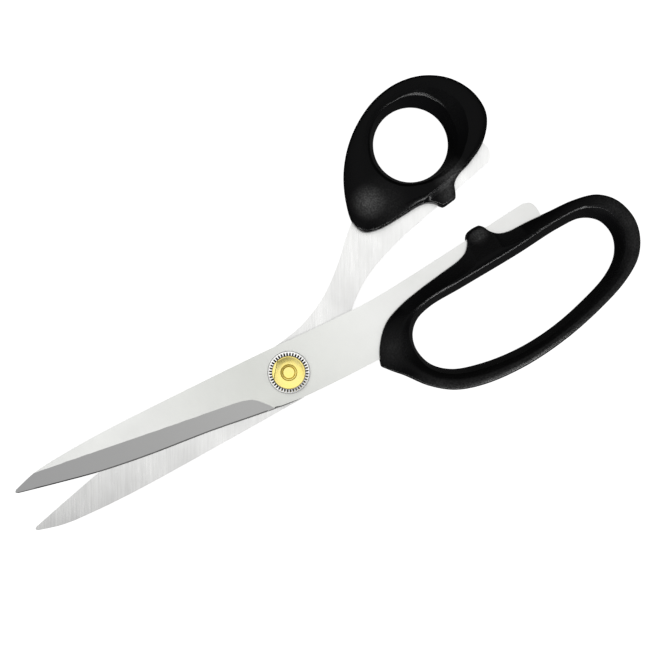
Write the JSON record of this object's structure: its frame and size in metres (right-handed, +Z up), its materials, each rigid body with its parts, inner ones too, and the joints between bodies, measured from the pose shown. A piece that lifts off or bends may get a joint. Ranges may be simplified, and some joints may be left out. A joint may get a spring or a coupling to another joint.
{
  "type": "fabric shears",
  "caption": "Left-handed fabric shears with bent handles: stamped steel blades, black moulded finger and thumb bows with stop tabs, and an adjustable pivot with a gold nut and serrated dial.",
  "frame": {"origin": "on the pivot's axis, at the flat underside of the bolt's head, level with the undersides of both bows", "axes": "+X from the pivot towards the blade tips, +Y towards the side of the finger bow, +Z up, from the lower blade to the upper blade and the nut"},
  "size_m": [0.209, 0.096, 0.0115],
  "materials": {
    "blade_steel": "fine ground stainless steel",
    "pivot_steel": "bright nickel",
    "gold_plate": "polished, gold-coloured",
    "black_moulding": "satin moulded",
    "nylon": "plain"
  },
  "bodies": {
    "finger_half": {"upper_blade": "blade_steel", "finger_handle": "black_moulding"},
    "thumb_half": {"lower_blade": "blade_steel", "thumb_handle": "black_moulding", "pivot_bolt": "gold_plate", "glide_washer": "nylon", "spring_washer": "pivot_steel"},
    "tension_nut": {"tension_dial": "pivot_steel", "pivot_nut": "gold_plate"}
  },
  "joints": [
    {"name": "blade_pivot", "type": "hinge", "parent": "finger_half", "child": "thumb_half", "pos_m": [0, 0, 0.005], "axis": [0, 0, 1], "range_deg": [-8, 100]},
    {"name": "tension_adjust", "type": "hinge", "parent": "thumb_half", "child": "tension_nut", "pos_m": [0, 0, 0.0095], "axis": [0, 0, 1], "range_deg": [-45, 45]}
  ]
}
